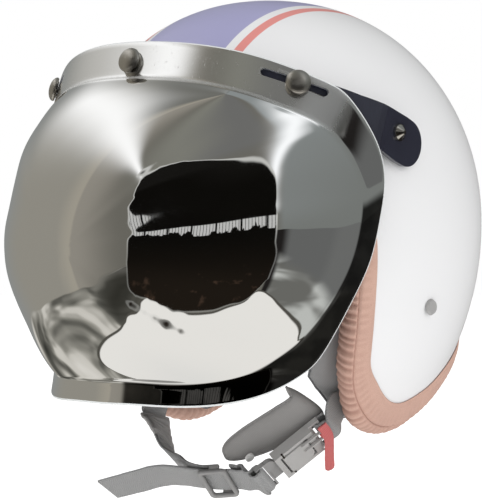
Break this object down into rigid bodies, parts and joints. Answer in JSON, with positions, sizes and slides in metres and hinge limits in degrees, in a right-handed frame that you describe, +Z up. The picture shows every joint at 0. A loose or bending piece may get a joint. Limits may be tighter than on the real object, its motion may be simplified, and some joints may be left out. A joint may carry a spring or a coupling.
{
  "type": "open face motorcycle helmet",
  "caption": "Open face helmet with a padded liner, a leather edge trim, a flip-up mirrored bubble shield on a snap band, and a chin strap with a quick-release buckle.",
  "frame": {"origin": "centre of the head space, level with the widest part of the shell", "axes": "+X to the wearer's left, -Y to the front, +Z up"},
  "size_m": [0.2546, 0.3269, 0.3089],
  "materials": {
    "shell_paint": "gloss lacquer over a moulded shell",
    "foam": "moulded foam",
    "lining": "brushed knit",
    "trim_leather": "grained, padded and stitched",
    "mirror_lens": "mirror coat on clear plastic",
    "band_plastic": "moulded",
    "snap_metal": "worn nickel",
    "bright_steel": "polished",
    "strap_web": "woven webbing",
    "buckle_plastic": "fine spark texture",
    "tab_web": "woven tape"
  },
  "bodies": {
    "helmet": {"shell": "shell_paint", "foam_liner": "foam", "crown_pad": "lining", "left_cheek_pad": "lining", "right_cheek_pad": "lining", "neck_roll": "lining", "edge_trim": "trim_leather", "pivot_bosses": "band_plastic", "pivot_screws": "bright_steel", "pivot_washers": "bright_steel", "strap_rivets": "bright_steel", "anchor_plates": "bright_steel", "left_anchor_strap": "strap_web", "right_anchor_strap": "strap_web"},
    "visor": {"visor_band": "band_plastic", "snap_studs": "snap_metal", "bubble_shield": "mirror_lens", "snap_sockets": "snap_metal", "snap_caps": "snap_metal"},
    "chin_strap": {"left_strap": "strap_web", "chin_pad": "lining", "buckle_housing": "buckle_plastic", "lever_pin": "bright_steel", "lever_spring": "bright_steel", "pad_snap": "bright_steel"},
    "release_lever": {"release_lever": "buckle_plastic"},
    "release_tab": {"release_tab": "tab_web"},
    "strap_end": {"ratchet_tongue": "buckle_plastic", "chin_webbing": "strap_web", "slider": "buckle_plastic", "right_strap": "strap_web", "right_sleeve": "lining"}
  },
  "joints": [
    {"name": "visor_flip", "type": "hinge", "parent": "helmet", "child": "visor", "pos_m": [0, -0.028, 0.0556], "axis": [-1, 0, 0], "range_deg": [0, 95]},
    {"name": "chin_strap_swing", "type": "hinge", "parent": "helmet", "child": "chin_strap", "pos_m": [0, -0.027, -0.1095], "axis": [-1, 0, 0], "range_deg": [-6, 30]},
    {"name": "ratchet_slide", "type": "slide", "parent": "chin_strap", "child": "strap_end", "axis": [-0.5739, -0.5269, -0.6269], "range_m": [0, 0.003]},
    {"name": "lever_lift", "type": "hinge", "parent": "chin_strap", "child": "release_lever", "pos_m": [0.05325, -0.04747, -0.14117], "axis": [-0.2142, 0.8354, -0.5061], "range_deg": [0, 16], "stiffness_Nm_per_rad": 0.02, "springref_deg": -17.19},
    {"name": "tab_swing", "type": "hinge", "parent": "release_lever", "child": "release_tab", "pos_m": [0.07032, -0.03374, -0.12573], "axis": [0.2142, -0.8354, 0.5061], "range_deg": [-15, 20]}
  ]
}
